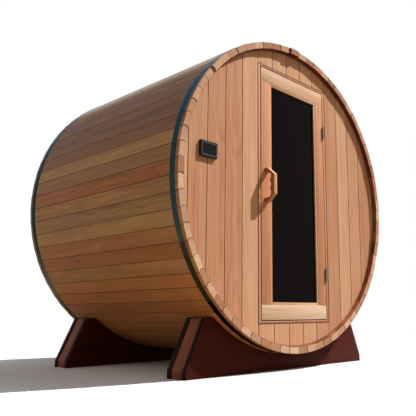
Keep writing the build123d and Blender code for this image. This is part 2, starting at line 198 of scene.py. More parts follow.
def timber_group():
    """Grain of one sawn plank: growth rings about a wandering pith, fibres, tone and small knots."""
    tree, given, result = new_group(
        "timber_grain",
        (
            ("Place", "Vector", (0.0, 0.0, 0.0)),
            ("Plank", "Float", 0.0),
            ("Pale", "Color", paint(220, 178, 140)),
            ("Deep", "Color", paint(170, 110, 72)),
            ("Warm", "Color", paint(190, 112, 64)),
            ("Ring Width", "Float", 0.0035),
            ("Contrast", "Float", 1.0),
            ("Knots", "Float", 0.0),
        ),
        (("Color", "Color"), ("Height", "Float"), ("Tone", "Float")),
    )
    place, plank = given["Place"], given["Plank"]
    across, through, along = parts(tree, place)
    across_luck, depth_luck, shift_luck = luck_of(tree, times(tree, plank, 7.31))
    tone_luck, warm_luck, bend_luck = luck_of(tree, scaled(tree, plank, 3.17, 41.0))
    shift = times(tree, shift_luck, 60.0)

    def stretched(fine, coarse):
        """The place scaled by fine across the grain and coarse along it, in another spot for each plank."""
        through_grain = scaled(tree, through, fine, shift)
        return vector(tree, times(tree, across, fine), through_grain, times(tree, along, coarse))

    # Knots are rare ovals, and the rings flow round them
    knot_across, knot_along = times(tree, across, 9.0), times(tree, along, 2.4)
    knot_place = vector(tree, knot_across, times(tree, plank, 13.3), knot_along)
    cells = add_node(tree, "ShaderNodeTexVoronoi", voronoi_dimensions="3D", feature="F1")
    feed_all(tree, cells, {"Vector": knot_place, "Scale": 1.0})
    cell_luck = parts(tree, cells.outputs["Color"])[0]
    has_knot = maths(tree, "LESS_THAN", cell_luck, given["Knots"])
    knot_core = times(tree, soft_step(tree, cells.outputs["Distance"], 0.1, 0.05), has_knot)
    knot_halo = times(tree, soft_step(tree, cells.outputs["Distance"], 0.4, 0.06), has_knot)

    # Rings
    wander = minus(tree, noise(tree, stretched(4.0, 1.3), 1.0, 2.0), 0.5)
    pith_across = times(tree, minus(tree, across_luck, 0.5), 0.34)
    lean = times(tree, minus(tree, bend_luck, 0.5), 0.05)
    pith_along = scaled(tree, along, lean, pith_across)
    from_pith = plus(tree, minus(tree, across, pith_along), times(tree, wander, 0.03))
    pith_depth = scaled(tree, depth_luck, 0.09, 0.015)
    depth = plus(tree, plus(tree, through, pith_depth), times(tree, wander, 0.024))
    reach = scaled(tree, knot_halo, 0.012, flat_distance(tree, from_pith, depth))
    ring_count = maths(tree, "DIVIDE", reach, given["Ring Width"])
    in_ring = maths(tree, "FRACT", ring_count)
    late = times(tree, soft_step(tree, in_ring, 0.25, 0.88), soft_step(tree, in_ring, 1.0, 0.92))
    year = add_node(tree, "ShaderNodeTexWhiteNoise", noise_dimensions="1D")
    feed(tree, year.inputs["W"], plus(tree, maths(tree, "FLOOR", ring_count), shift))
    late = times(tree, late, scaled(tree, year.outputs["Value"], 0.6, 0.4))

    # Fibres, long streaks and cloudy patches
    fibre = noise(tree, stretched(420.0, 9.0), 1.0, 3.0, 0.6)
    streak = noise(tree, stretched(55.0, 1.6), 1.0, 3.0, 0.55)
    cloud = noise(tree, stretched(9.0, 2.2), 1.0, 3.0, 0.55)

    tone = times(tree, tone_luck, 0.75)
    tone = scaled(tree, minus(tree, cloud, 0.5), 0.7, tone)
    tone = scaled(tree, minus(tree, streak, 0.5), 1.1, tone)
    fibres = times(tree, minus(tree, fibre, 0.5), 0.5)
    grain = scaled(tree, late, 0.36, fibres)
    tone = scaled(tree, grain, given["Contrast"], tone, clamp=True)
    cloudy = scaled(tree, cloud, 0.9, 0.15)
    warmth = times(tree, soft_step(tree, warm_luck, 0.35, 1.0), cloudy, clamp=True)
    deep = blend_colour(tree, warmth, given["Deep"], given["Warm"])
    colour = blend_colour(tree, tone, given["Pale"], deep)
    knot_colour = blend_colour(tree, 0.65, deep, paint(52, 28, 17))
    colour = blend_colour(tree, times(tree, knot_halo, 0.35), colour, deep)
    colour = blend_colour(tree, knot_core, colour, knot_colour)
    height = minus(tree, times(tree, fibre, 0.7), times(tree, late, 0.45))
    for name, value in (("Color", colour), ("Height", height), ("Tone", tone)):
        feed(tree, result[name], value)
    return tree


TIMBER = timber_group()


def new_material(name):
    finish = bpy.data.materials.new(name)
    finish.use_nodes = True
    tree = finish.node_tree
    tree.nodes.clear()
    surface = add_node(tree, "ShaderNodeBsdfPrincipled")
    end = add_node(tree, "ShaderNodeOutputMaterial")
    tree.links.new(surface.outputs[0], end.inputs["Surface"])
    return finish, tree, surface


def object_place(tree):
    return add_node(tree, "ShaderNodeTexCoord").outputs["Object"]


def object_normal(tree):
    return add_node(tree, "ShaderNodeTexCoord").outputs["Normal"]


def grain_in(tree, place, plank, pale, deep, warm, ring=0.0035, contrast=1.0, knots=0.0):
    grain = add_node(tree, "ShaderNodeGroup", node_tree=TIMBER)
    feed_all(tree, grain, {
        "Place": place, "Plank": plank, "Pale": pale, "Deep": deep, "Warm": warm,
        "Ring Width": ring, "Contrast": contrast, "Knots": knots,
    })
    return grain.outputs["Color"], grain.outputs["Height"], grain.outputs["Tone"]


def darken_joint(tree, colour, shade, place):
    """Dirt and shade in a joint, uneven along it."""
    spots = noise(tree, place, 38.0, 3.0, 0.6)
    amount = times(tree, shade, scaled(tree, spots, 0.5, 0.62), clamp=True)
    return blend_colour(tree, times(tree, amount, 0.9), colour, paint(62, 26, 14))


def add_relief(tree, surface, height, strength, depth):
    bump = add_node(tree, "ShaderNodeBump")
    feed_all(tree, bump, {"Height": height, "Strength": strength, "Distance": depth})
    feed(tree, surface.inputs["Normal"], bump.outputs[0])


def dress_timber(tree, surface, colour, height, tone, rough_low, rough_high, relief=0.0006):
    rough = add_node(tree, "ShaderNodeMapRange")
    feed_all(tree, rough, {"Value": tone, "To Min": rough_low, "To Max": rough_high})
    feed_all(tree, surface, {"Base Color": colour, "Roughness": rough.outputs[0]})
    add_relief(tree, surface, height, 0.45, relief)
    surface.inputs["Specular IOR Level"].default_value = 0.12


def stave_wood():
    """Weathered staves: red-brown and olive outside, pale end grain, warm wood inside."""
    finish, tree, surface = new_material("stave_wood")
    place = attribute(tree, "plank_place")["Vector"]
    plank = attribute(tree, "plank_number")["Fac"]
    pale_luck, red_luck, shade_luck = luck_of(tree, scaled(tree, plank, 1.93, 5.0))
    outside = grain_in(
        tree, place, plank, paint(210, 160, 106), paint(124, 74, 38), paint(172, 76, 28), 0.0046, 0.85, 0.14,
    )
    across, through, along = parts(tree, place)
    # Some staves are red and some olive, in patches
    height = parts(tree, object_place(tree))[2]
    patch_across, patch_along = times(tree, across, 30.0), times(tree, along, 3.0)
    patch_place = vector(tree, patch_across, times(tree, plank, 4.7), patch_along)
    patches = soft_step(tree, noise(tree, patch_place, 1.0, 4.0, 0.6), 0.35, 0.75)
    redness = scaled(tree, patches, 0.75, 0.12)
    redness = times(tree, soft_step(tree, red_luck, 0.4, 0.8), redness)
    colour = blend_colour(tree, redness, outside[0], paint(166, 86, 34))
    olive = scaled(tree, patches, 0.3, 0.2)
    olive = times(tree, soft_step(tree, red_luck, 0.45, 0.15), olive)
    colour = blend_colour(tree, olive, colour, paint(176, 148, 102))
    lightness = scaled(tree, pale_luck, 0.44, 0.84)
    colour = blend_colour(tree, 1.0, colour, vector(tree, lightness, lightness, lightness), "MULTIPLY")
    # Upper staves are mauve and the top ones pale grey: partly weathering, partly a painted sky reflection in
    # the mauve and a painted sheen in the grey
    upper = soft_step(tree, height, 1.02, 1.44)
    top = soft_step(tree, height, 1.61, 1.665)
    mauve = times(tree, upper, scaled(tree, patches, 0.26, 0.6))
    colour = blend_colour(tree, mauve, colour, paint(94, 65, 58))
    grey = scaled(tree, patches, 0.35, 0.65)
    grey = times(tree, scaled(tree, top, 0.85, 0.06), grey)
    colour = blend_colour(tree, grey, colour, paint(208, 192, 178))
    # Low staves are painted brighter orange: painted bounce light from the floor
    floor_bounce_light = scaled(tree, shade_luck, 0.3, 0.35)
    floor_bounce_light = times(tree, soft_step(tree, height, 0.95, 0.35), floor_bounce_light)
    colour = blend_colour(tree, floor_bounce_light, colour, paint(244, 162, 96))
    # The inner face hasn't weathered
    inside = grain_in(
        tree, place, plank, paint(234, 150, 102), paint(188, 102, 62), paint(190, 84, 44), 0.004, 0.7, 0.0,
    )
    turned_in = soft_step(tree, through, INNER_RADIUS + 0.012, INNER_RADIUS + 0.001)
    # The upper part of the inner face is painted darker red: painted shade under the top of the rim
    upper_inside_shade = blend_colour(tree, times(tree, upper, 0.7), inside[0], paint(128, 46, 24))
    colour = blend_colour(tree, turned_in, colour, upper_inside_shade)
    # End grain, each end paler or browner
    facing = absolute(tree, parts(tree, object_normal(tree))[1])
    end_face = soft_step(tree, facing, 0.75, 0.95)
    cut = grain_in(
        tree, place, plank, paint(244, 208, 176), paint(198, 142, 104), paint(206, 130, 86), 0.003, 0.9, 0.0,
    )
    upper_brown = times(tree, upper, 0.35)
    brown = scaled(tree, soft_step(tree, pale_luck, 0.45, 0.8), 0.5, upper_brown)
    browner = blend_colour(tree, brown, cut[0], paint(158, 96, 60))
    colour = blend_colour(tree, end_face, colour, browner)
    shade = attribute(tree, "joint_shade")["Fac"]
    shade = times(tree, shade, scaled(tree, shade_luck, 0.5, 0.5))
    colour = darken_joint(tree, colour, shade, place)
    dress_timber(tree, surface, colour, outside[1], outside[2], 0.62, 0.48)
    return finish


def wall_wood():
    """Upright wall boards, each with its own grain."""
    finish, tree, surface = new_material("wall_wood")
    x, y, z = parts(tree, object_place(tree))
    board = maths(tree, "FLOOR", scaled(tree, x, 1 / BOARD_PITCH, BOARD_COUNT / 2))
    middle = times(tree, minus(tree, board, (BOARD_COUNT - 1) / 2), BOARD_PITCH)
    plank = scaled(tree, maths(tree, "GREATER_THAN", y, 0.0), 40.0, board)
    plank = plus(tree, plank, 3.0)
    from_middle = minus(tree, x, middle)
    place = vector(tree, from_middle, y, z)
    grain = grain_in(
        tree, place, plank, paint(230, 180, 142), paint(194, 134, 98), paint(208, 128, 86), 0.0038, 0.75, 0.0,
    )
    # Dirt and painted shade in the joints between boards and beside the door frame, and painted shade in the
    # corner round the rim
    to_edge = minus(tree, BOARD_PITCH / 2, absolute(tree, from_middle))
    shade = soft_step(tree, to_edge, 0.0036, 0.001)
    out = flat_distance(tree, x, minus(tree, z, AXIS_HEIGHT))
    rim_corner_shade = times(tree, soft_step(tree, out, INNER_RADIUS - 0.012, INNER_RADIUS), 0.8)
    shade = larger(tree, shade, rim_corner_shade)
    by_frame = soft_step(tree, outside_frame(tree, x, z), 0.008, 0.003)
    by_frame = times(tree, by_frame, maths(tree, "LESS_THAN", y, 0.0))
    shade = larger(tree, shade, by_frame)
    colour = darken_joint(tree, grain[0], shade, place)
    dress_timber(tree, surface, colour, grain[1], grain[2], 0.62, 0.5)
    return finish


def piece_wood(name, along, centre, number, tones, gap_shade=0.7, side_shade_amount=0.0, at_frame=0.0):
    """Wood of single pieces whose grain runs along an axis, with another number beyond the centre."""
    finish, tree, surface = new_material(name)
    spots = parts(tree, object_place(tree))
    order = {"x": (2, 1, 0), "y": (0, 2, 1), "z": (0, 1, 2)}[along]
    moved = [minus(tree, spots[axis], centre[axis]) for axis in order]
    side = maths(tree, "GREATER_THAN", spots[order[0]], centre[order[0]])
    plank = scaled(tree, side, 3.0, number)
    place = vector(tree, *moved)
    grain = grain_in(tree, place, plank, *(paint(*tone) for tone in tones), contrast=0.6)
    # Sides that stand in a joint or a gap are painted darker, deeper in: painted shade in the gap; a dark
    # line runs along the frame's outer edge
    facing = parts(tree, object_normal(tree))
    facing_wide, facing_high = absolute(tree, facing[0]), absolute(tree, facing[2])
    aside = larger(tree, facing_wide, facing_high)
    depth = soft_step(tree, spots[1], WALL_Y - 0.0005, WALL_Y + 0.005)
    shade = times(tree, times(tree, soft_step(tree, aside, 0.3, 0.8), depth), gap_shade)
    outline = soft_step(tree, outside_frame(tree, spots[0], spots[2]), -0.005, -0.001)
    shade = larger(tree, shade, times(tree, outline, at_frame))
    colour = darken_joint(tree, grain[0], shade, place)
    # The broad sides of a handle are painted browner: painted shade on the sides
    broad = soft_step(tree, facing_wide, 0.5, 0.9)
    colour = blend_colour(tree, times(tree, broad, side_shade_amount), colour, paint(150, 76, 40))
    dress_timber(tree, surface, colour, grain[1], grain[2], 0.6, 0.48)
    return finish


def outside_frame(tree, x, z):
    """How far a point lies outside the door frame's outline, in metres, and below zero inside it."""
    half_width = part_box("door_jamb_hinge_side")[1].x
    low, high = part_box("door_sill")[0].z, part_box("door_head")[1].z
    beside = minus(tree, absolute(tree, x), half_width)
    from_middle = absolute(tree, minus(tree, z, (low + high) / 2))
    above = minus(tree, from_middle, (high - low) / 2)
    return larger(tree, beside, above)


def floor_wood():
    """Duckboard slats along the barrel on cross bearers."""
    finish, tree, surface = new_material("floor_wood")
    x, y, z = parts(tree, object_place(tree))
    slat = maths(tree, "FLOOR", maths(tree, "DIVIDE", x, SLAT_PITCH))
    middle = times(tree, plus(tree, slat, 0.5), SLAT_PITCH)
    place = vector(tree, minus(tree, x, middle), z, y)
    grain = grain_in(
        tree, place, plus(tree, slat, 90.0),
        paint(214, 178, 140), paint(168, 122, 84), paint(176, 120, 78),
    )
    dress_timber(tree, surface, *grain, 0.66, 0.55)
    return finish


def cradle_stain():
    """Very dark burgundy stain over sawn wood, black on the sawn edges of the plates."""
    finish, tree, surface = new_material("cradle_stain")
    x, y, z = parts(tree, object_place(tree))
    plank = scaled(tree, maths(tree, "GREATER_THAN", y, 0.0), 5.0, 200.0)
    grain = grain_in(
        tree, vector(tree, z, y, x), plank,
        paint(86, 34, 28), paint(40, 13, 11), paint(64, 18, 14), 0.005, 0.8, 0.3,
    )
    flat = absolute(tree, parts(tree, object_normal(tree))[1])
    rubbed = noise(tree, object_place(tree), 26.0, 4.0, 0.6)
    sawn = blend_colour(tree, rubbed, paint(6, 4, 4), paint(20, 11, 9))
    colour = blend_colour(tree, soft_step(tree, flat, 0.85, 0.6), grain[0], sawn)
    dress_timber(tree, surface, colour, grain[1], grain[2], 0.56, 0.42, 0.0008)
    surface.inputs["Specular IOR Level"].default_value = 0.05
    return finish


def cradle_core_wood():
    """Brown oiled packing between the cradle's plates, its grain up the slope of the ends."""
    finish, tree, surface = new_material("cradle_core")
    x, y, z = parts(tree, object_place(tree))
    side = maths(tree, "GREATER_THAN", x, 0.0)
    grain = grain_in(
        tree, vector(tree, y, x, z), scaled(tree, side, 7.0, 230.0),
        paint(180, 106, 72), paint(120, 64, 42), paint(140, 68, 42), 0.004, 0.8,
    )
    shade = 0.0
    for edge in (*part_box("front_cradle_core"), *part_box("rear_cradle_core")):
        near = soft_step(tree, absolute(tree, minus(tree, y, edge.y)), 0.006, 0.0005)
        shade = larger(tree, near, shade)
    colour = darken_joint(tree, grain[0], shade, vector(tree, y, x, z))
    dress_timber(tree, surface, colour, grain[1], grain[2], 0.58, 0.45)
    return finish


# Steel, glass and plastic

def band_steel():
    """Polished stainless band, rolled lengthways, with a painted reflection running from brown low down to
    blue at the top.
    """
    finish, tree, surface = new_material("hoop_steel")
    x, y, z = parts(tree, object_place(tree))
    turn = maths(tree, "ARCTAN2", minus(tree, z, AXIS_HEIGHT), x)
    place = vector(tree, times(tree, turn, 3.0), times(tree, y, 900.0), 0.0)
    brushed = noise(tree, place, 1.0, 3.0, 0.6)
    cloud_place = vector(tree, times(tree, turn, 5.0), times(tree, y, 20.0), 0.0)
    cloudy = noise(tree, cloud_place, 1.0, 3.0)
    # Painted reflection: brown of the ground low down, blue of the sky at the top, teal in cloudy patches
    painted_reflection = blend_colour(tree, soft_step(tree, z, 0.3, 0.85), paint(98, 88, 52), paint(34, 46, 48))
    painted_reflection = blend_colour(tree, soft_step(tree, z, 1.1, 1.55), painted_reflection, paint(40, 70, 100))
    colour = blend_colour(tree, times(tree, cloudy, 0.2), painted_reflection, paint(44, 60, 54))
    rough = scaled(tree, cloudy, 0.14, scaled(tree, brushed, 0.1, 0.12))
    feed_all(tree, surface, {"Base Color": colour, "Roughness": rough})
    surface.inputs["Metallic"].default_value = 1.0
    surface.inputs["Specular Tint"].default_value = (0.44, 0.52, 0.58, 1.0)
    add_relief(tree, surface, brushed, 0.15, 0.0002)
    return finish


def hinge_steel():
    """Dull plain steel of the hinges and screws, slightly tarnished."""
    finish, tree, surface = new_material("hinge_steel")
    place = object_place(tree)
    cloudy = noise(tree, place, 90.0, 4.0, 0.6)
    fine = noise(tree, place, 900.0, 2.0, 0.5)
    colour = blend_colour(tree, cloudy, paint(150, 148, 144), paint(98, 92, 86))
    rough = scaled(tree, cloudy, 0.25, scaled(tree, fine, 0.12, 0.26))
    feed_all(tree, surface, {"Base Color": colour, "Roughness": rough})
    surface.inputs["Metallic"].default_value = 1.0
    return finish


def door_glass():
    """Dark tinted safety glass with a faint film of dust."""
    finish, tree, surface = new_material("door_glass")
    dust = noise(tree, object_place(tree), 7.0, 5.0, 0.6)
    colour = blend_colour(tree, dust, (0.003, 0.0008, 0.0006, 1.0), (0.006, 0.0022, 0.0018, 1.0))
    rough = scaled(tree, dust, 0.08, 0.04)
    feed_all(tree, surface, {"Base Color": colour, "Roughness": rough})
    surface.inputs["Specular IOR Level"].default_value = 0.012
    surface.inputs["Transmission Weight"].default_value = 0.06
    return finish


def panel_plastic():
    """Black moulded housing with a fine spark finish."""
    finish, tree, surface = new_material("panel_plastic")
    place = object_place(tree)
    spark = noise(tree, place, 1600.0, 2.0, 0.6)
    wear = noise(tree, place, 60.0, 3.0, 0.6)
    colour = blend_colour(tree, wear, paint(30, 29, 31), paint(46, 44, 46))
    feed_all(tree, surface, {"Base Color": colour, "Roughness": scaled(tree, wear, 0.2, 0.32)})
    surface.inputs["Specular IOR Level"].default_value = 0.12
    add_relief(tree, surface, spark, 0.25, 0.0002)
    return finish


def panel_screen():
    """Switched-off screen: near black glass with smears."""
    finish, tree, surface = new_material("panel_screen")
    smear = noise(tree, object_place(tree), 34.0, 4.0, 0.6)
    colour = blend_colour(tree, smear, paint(14, 13, 16), paint(30, 28, 34))
    feed_all(tree, surface, {"Base Color": colour, "Roughness": scaled(tree, smear, 0.22, 0.08)})
    surface.inputs["Specular IOR Level"].default_value = 0.1
    return finish


# Small helpers for pieces

def new_piece(name, data):
    piece = bpy.data.objects.new(name, data)
    bpy.context.scene.collection.objects.link(piece)
    return piece


def mesh_of(shape, name):
    """Writes a shape out as a mesh of that name and frees it."""
    mesh = bpy.data.meshes.new(name)
    shape.to_mesh(mesh)
    shape.free()
    return mesh


def close_loops(shape, loops):
    """Joins each loop of points to the next with a ring of faces."""
    for near, far in zip(loops, loops[1:]):
        for index in range(len(near)):
            after = (index + 1) % len(near)
            shape.faces.new((near[index], near[after], far[after], far[index]))


def made_by(piece, modifier, **kept):
    """What the modifier makes of the piece, as a plain mesh that replaces the piece's own."""
    bpy.context.view_layer.update()
    depsgraph = bpy.context.evaluated_depsgraph_get()
    made = bpy.data.meshes.new_from_object(piece.evaluated_get(depsgraph), **kept, depsgraph=depsgraph)
    piece.modifiers.remove(modifier)
    piece.data = made
    return made


def soften(mesh):
    """Smooth shading, with edges sharper than 35 degrees kept sharp."""
    for face in mesh.polygons:
        face.use_smooth = True
    mesh.set_sharp_from_angle(angle=radians(35))


# Staves

def edge_point(side, radius):
    """A point on a stave's bead (side 1) or cove (side -1), with the stave at the top of the barrel."""
    half = STAVE_PITCH / 2
    middle = (BARREL_RADIUS + INNER_RADIUS) / 2
    swell = BEAD_RISE * (1 - ((radius - middle) / (STAVE_THICKNESS / 2)) ** 2)
    flat = side * (radius * tan(half) - STAVE_GAP / 2 / cos(half))
    return flat + swell * cos(half), radius - side * swell * sin(half)


def stave_outline(inset, floor=None):
    """Points (across, up) round a stave's section, each with its joint shade. floor is a croze's bottom."""
    top = BARREL_RADIUS - inset
    bottom = INNER_RADIUS + inset
    rows = [top - ARRIS - (top - ARRIS - bottom) * step / EDGE_STEPS for step in range(EDGE_STEPS + 1)]
    points = []
    for side in (-1, 1):
        wide = side * BARREL_RADIUS * tan(STAVE_PITCH / 2) - side * (STAVE_GAP / 2 + inset)
        shoulder = []
        for step in range(4):
            turn = pi / 2 * step / 3
            shoulder.append((wide - side * ARRIS * (1 - cos(turn)), top - ARRIS * (1 - sin(turn)), 1.0))
        shoulder[-1] = shoulder[-1][:2] + (0.7,)
        shoulder.append((wide - side * (ARRIS + SHADE_WIDTH), top, 0.0))
        edge = []
        for radius in rows[1:]:
            x, z = edge_point(side, radius)
            edge.append((x - side * inset, z, 1.0))
        if floor is not None:
            at_floor = edge_point(side, floor)
            edge = [spot if spot[1] > floor else (at_floor[0], floor, 1.0) for spot in edge]
        points.append((shoulder, edge))
    (left, left_edge), (right, right_edge) = points
    return left + list(reversed(right)) + right_edge + list(reversed(left_edge))


def base_stave():
    """One stave lying at the top of the barrel, with eased ends and a croze across each end."""
    full = stave_outline(0)
    cut = stave_outline(0, INNER_RADIUS + CROZE_DEPTH)
    rounded = stave_outline(END_EASE)
    face = [(x, z, 0.0) for x, z, shade in stave_outline(END_EASE + END_SHADE_WIDTH)]
    groove_near = WALL_Y - CROZE_PLAY
    groove_far = WALL_Y + WALL_THICKNESS + CROZE_PLAY
    both = FRONT_Y + REAR_Y
    stations = [(FRONT_Y, face), (FRONT_Y, rounded), (FRONT_Y + END_EASE, full)]
    stations += [(groove_near, full), (groove_near, cut), (groove_far, cut), (groove_far, full)]
    stations += [(both - groove_far, full), (both - groove_far, cut)]
    stations += [(both - groove_near, cut), (both - groove_near, full)]
    stations += [(REAR_Y - END_EASE, full), (REAR_Y, rounded), (REAR_Y, face)]
    shape = bmesh.new()
    shade_layer = shape.verts.layers.float.new("joint_shade")
    loops = []
    for y, outline in stations:
        loop = [shape.verts.new((x, y, z)) for x, z, shade in outline]
        for vert, (x, z, shade) in zip(loop, outline):
            vert[shade_layer] = shade
        loops.append(loop)
    close_loops(shape, loops)
    shape.faces.new(list(reversed(loops[0])))
    shape.faces.new(loops[-1])
    bmesh.ops.remove_doubles(shape, verts=shape.verts, dist=0.00002)
    bmesh.ops.dissolve_degenerate(shape, edges=shape.edges, dist=0.00002)
    bmesh.ops.recalc_face_normals(shape, faces=shape.faces)
    return bpy.data.objects.new("base_stave", mesh_of(shape, "base_stave"))


def new_maker(name, inputs):
    tree = bpy.data.node_groups.new(name, "GeometryNodeTree")
    tree.interface.new_socket("Geometry", in_out="OUTPUT", socket_type="NodeSocketGeometry")
    for label, kind, value in inputs:
        socket = tree.interface.new_socket(label, in_out="INPUT", socket_type="NodeSocket" + kind)
        if value is not None:
            socket.default_value = value
    way_in = add_node(tree, "NodeGroupInput")
    way_out = add_node(tree, "NodeGroupOutput")
    return tree, way_in.outputs, way_out.inputs[0]


def run_maker(tree, name, values):
    """Runs a geometry tree once and keeps its result as a plain mesh on an object of that name."""
    piece = new_piece(name, bpy.data.meshes.new(name))
    maker = piece.modifiers.new("maker", "NODES")
    maker.node_group = tree
    for item in tree.interface.items_tree:
        if item.item_type == "SOCKET" and item.in_out == "INPUT" and item.name in values:
            maker[item.identifier] = values[item.name]
    made_by(piece, maker, preserve_all_data_layers=True).name = name
    return piece


def stave_ring_tree():
    tree, given, result = new_maker(
        "stave_ring",
        (
            ("Stave", "Object", None),
            ("Staves", "Int", STAVE_COUNT),
            ("First Angle", "Float", FIRST_STAVE),
            ("Pitch", "Float", STAVE_PITCH),
            ("Axis Height", "Float", AXIS_HEIGHT),
            ("End Play", "Float", END_PLAY),
            ("Finish", "Material", None),
        ),
    )
    one = add_node(tree, "GeometryNodeObjectInfo")
    feed(tree, one.inputs["Object"], given["Stave"])
    across, along, through = parts(tree, add_node(tree, "GeometryNodeInputPosition").outputs[0])
    kept = add_node(tree, "GeometryNodeStoreNamedAttribute", data_type="FLOAT_VECTOR", domain="POINT")
    place = vector(tree, across, through, along)
    feed_all(tree, kept, {"Geometry": one.outputs["Geometry"], "Name": "plank_place", "Value": place})
    points = add_node(tree, "GeometryNodePoints")
    middle = vector(tree, 0.0, 0.0, given["Axis Height"])
    feed_all(tree, points, {"Count": given["Staves"], "Position": middle})
    number = add_node(tree, "GeometryNodeInputIndex").outputs[0]
    angle = scaled(tree, plus(tree, number, 0.5), given["Pitch"], given["First Angle"])
    turn = add_node(tree, "FunctionNodeEulerToRotation")
    feed(tree, turn.inputs[0], vector(tree, 0.0, minus(tree, pi / 2, angle), 0.0))
    ring = add_node(tree, "GeometryNodeInstanceOnPoints")
    stave, turned = kept.outputs[0], turn.outputs[0]
    feed_all(tree, ring, {"Points": points.outputs[0], "Instance": stave, "Rotation": turned})
    numbered = add_node(tree, "GeometryNodeStoreNamedAttribute", data_type="FLOAT", domain="INSTANCE")
    feed_all(tree, numbered, {"Geometry": ring.outputs[0], "Name": "plank_number", "Value": number})
    whole = add_node(tree, "GeometryNodeRealizeInstances")
    feed(tree, whole.inputs[0], numbered.outputs[0])
    # Each end falls a little short of the rim's plane, and two staves have crept forward
    own = add_node(tree, "GeometryNodeInputNamedAttribute", data_type="FLOAT")
    own.inputs["Name"].default_value = "plank_number"
    stave = own.outputs["Attribute"]
    depth = parts(tree, add_node(tree, "GeometryNodeInputPosition").outputs[0])[1]
    shift = maths(tree, "MODULO", times(tree, stave, 7.0), 11.0)
    shift = times(tree, times(tree, shift, 0.1), given["End Play"])
    for crept, by in PROUD_STAVES.items():
        chosen = maths(tree, "COMPARE", stave, float(crept), 0.1)
        shift = minus(tree, shift, times(tree, chosen, by))
    shift = times(tree, shift, maths(tree, "LESS_THAN", depth, WALL_Y - 0.01))
    back = maths(tree, "MODULO", times(tree, stave, 5.0), 13.0)
    back = times(tree, times(tree, back, -1 / 12), given["End Play"])
    back = times(tree, back, maths(tree, "GREATER_THAN", depth, REAR_Y - WALL_RECESS + 0.01))
    uneven = add_node(tree, "GeometryNodeSetPosition")
    offset = vector(tree, 0.0, plus(tree, shift, back), 0.0)
    feed_all(tree, uneven, {"Geometry": whole.outputs[0], "Offset": offset})
    dressed = add_node(tree, "GeometryNodeSetMaterial")
    feed_all(tree, dressed, {"Geometry": uneven.outputs[0], "Material": given["Finish"]})
    feed(tree, result, dressed.outputs[0])
    return tree


def stave_ring():
    pattern = base_stave()
    ring = run_maker(stave_ring_tree(), "stave_ring", {"Stave": pattern, "Finish": stave_wood()})
    bpy.data.objects.remove(pattern)
    soften(ring.data)
    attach(ring, "cabin")
    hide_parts(*[f"staves_{group:02d}" for group in range(1, 11)])


# Wooden pieces with eased edges, cut from the frame's own solids

def eased(node, finish, body, ease):
    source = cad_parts[node]
    shape = bmesh.new()
    shape.from_mesh(source.data)
    bmesh.ops.remove_doubles(shape, verts=shape.verts, dist=0.00001)
    bmesh.ops.dissolve_limit(shape, angle_limit=radians(1), verts=shape.verts, edges=shape.edges)
    piece = new_piece(node + "_eased", mesh_of(shape, node + "_eased"))
    rounder = piece.modifiers.new("rounder", "BEVEL")
    rounder.width = ease
    rounder.segments = 3
    rounder.limit_method = "ANGLE"
    rounder.angle_limit = radians(25)
    made = made_by(piece, rounder)
    made.materials.clear()
    made.materials.append(finish)
    soften(made)
    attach(piece, body)
    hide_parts(node)
    return piece


def dress(finish, *nodes):
    for node in nodes:
        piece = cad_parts[node]
        if not piece.material_slots:
            piece.data.materials.append(finish)
        for spot in piece.material_slots:
            spot.material = finish


def woodwork():
    dress(
        wall_wood(), "front_wall_left", "front_wall_right", "front_wall_above_door", "front_wall_below_door",
        "rear_wall_left", "rear_wall_centre", "rear_wall_right",
    )
    dress(floor_wood(), "floor_slats")
    bearer_tones = ((206, 168, 130), (160, 112, 76), (168, 112, 72))
    frame_tones = ((230, 176, 136), (190, 124, 86), (198, 116, 74))
    stile_tones = ((224, 164, 124), (188, 118, 80), (196, 110, 68))
    rail_tones = ((252, 230, 206), (226, 182, 146), (224, 164, 120))
    bead_tones = ((234, 190, 150), (202, 150, 108), (202, 140, 94))
    handle_tones = ((230, 182, 142), (196, 136, 94), (200, 120, 74))
    floor_middle, door_middle, grip_middle = (0, 0, 0), (0, 0, AXIS_HEIGHT), (-0.253, 0, 1.02)
    dress(piece_wood("bearer_wood", "x", floor_middle, 95.0, bearer_tones), "floor_bearers")
    upright = piece_wood("jamb_wood", "z", floor_middle, 120.0, frame_tones, at_frame=1.0)
    level = piece_wood("head_wood", "x", door_middle, 130.0, frame_tones, at_frame=1.0)
    stile = piece_wood("stile_wood", "z", floor_middle, 140.0, stile_tones)
    rail = piece_wood("rail_wood", "x", door_middle, 150.0, rail_tones)
    bead = piece_wood("bead_wood", "z", floor_middle, 160.0, bead_tones)
    handle = piece_wood(
        "handle_wood", "z", grip_middle, 171.0, handle_tones, gap_shade=0.0, side_shade_amount=0.75,
    )
    for node, finish, body, slot, ease in (
        ("door_jamb_latch_side", upright, "cabin", "frame_wood", 0.0015),
        ("door_jamb_hinge_side", upright, "cabin", "frame_wood", 0.0015),
        ("door_head", level, "cabin", "frame_wood", 0.0015),
        ("door_sill", level, "cabin", "frame_wood", 0.0015),
        ("door_stile_latch_side", stile, "door", "stile_wood", 0.0015),
        ("door_stile_hinge_side", stile, "door", "stile_wood", 0.0015),
        ("door_top_rail", rail, "door", "rail_wood", 0.0015),
        ("door_bottom_rail", rail, "door", "rail_wood", 0.0015),
        ("glazing_beads", bead, "door", "bead_wood", 0.001),
        ("door_handle", handle, "door", "handle_wood", 0.004),
    ):
        eased(node, finish, body, ease)
    stain = cradle_stain()
    core = cradle_core_wood()
    for end in ("front", "rear"):
        for plate in ("front", "rear"):
            eased(f"{end}_cradle_{plate}_plate", stain, "cabin", 0.0025)
        eased(f"{end}_cradle_core", core, "cabin", 0.002)


def metalwork_and_panel():
    dress(band_steel(), "front_hoop", "rear_hoop")
    steel = hinge_steel()
    dress(steel, "hinge_jamb_flaps", "hinge_door_flaps")
    screws(steel)
    panel_bezel()
    dress(door_glass(), "door_glass")
    dress(panel_plastic(), "control_panel")
    dress(panel_screen(), "control_screen")


# Screws of the hinges and the deck

